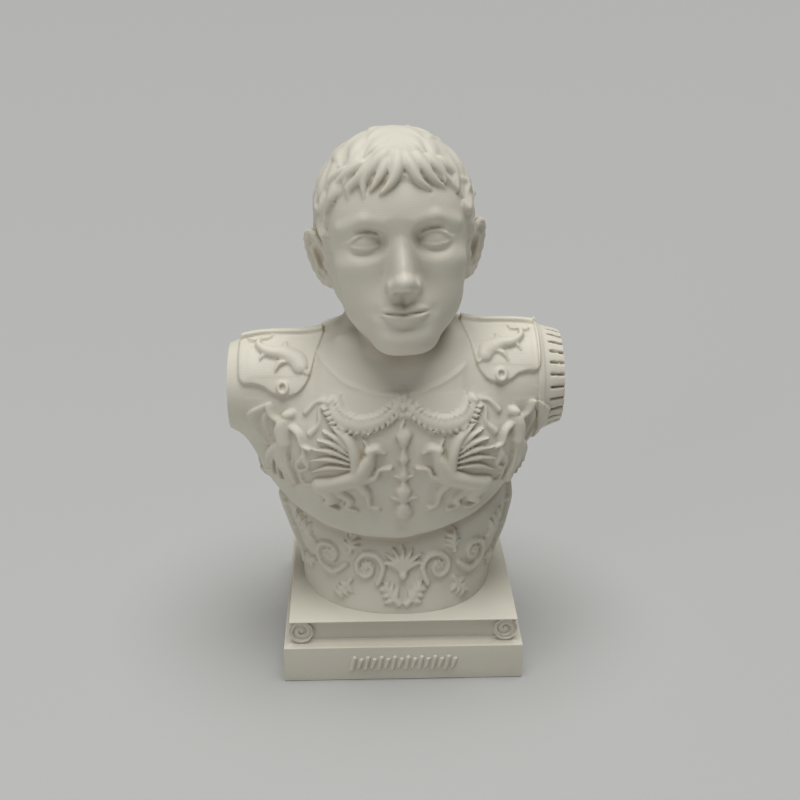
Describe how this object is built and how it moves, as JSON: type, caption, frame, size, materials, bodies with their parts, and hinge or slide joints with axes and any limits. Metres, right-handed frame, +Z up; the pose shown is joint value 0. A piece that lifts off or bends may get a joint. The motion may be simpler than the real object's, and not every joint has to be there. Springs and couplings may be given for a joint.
{
  "type": "roman emperor bust",
  "caption": "Small printed bust of a Roman in a breastplate carved in relief, standing on a square stepped plinth with side rolls.",
  "frame": {"origin": "centre of the plinth's underside", "axes": "+Z up to the crown of the head, -Y towards the face, +X towards the figure's left arm"},
  "size_m": [0.0932, 0.0682, 0.1499],
  "materials": {
    "bust_plastic": "matte off-white printed plastic",
    "plinth_plastic": "matte off-white printed plastic"
  },
  "bodies": {
    "root": {"bust": "bust_plastic", "plinth": "plinth_plastic"}
  },
  "joints": []
}
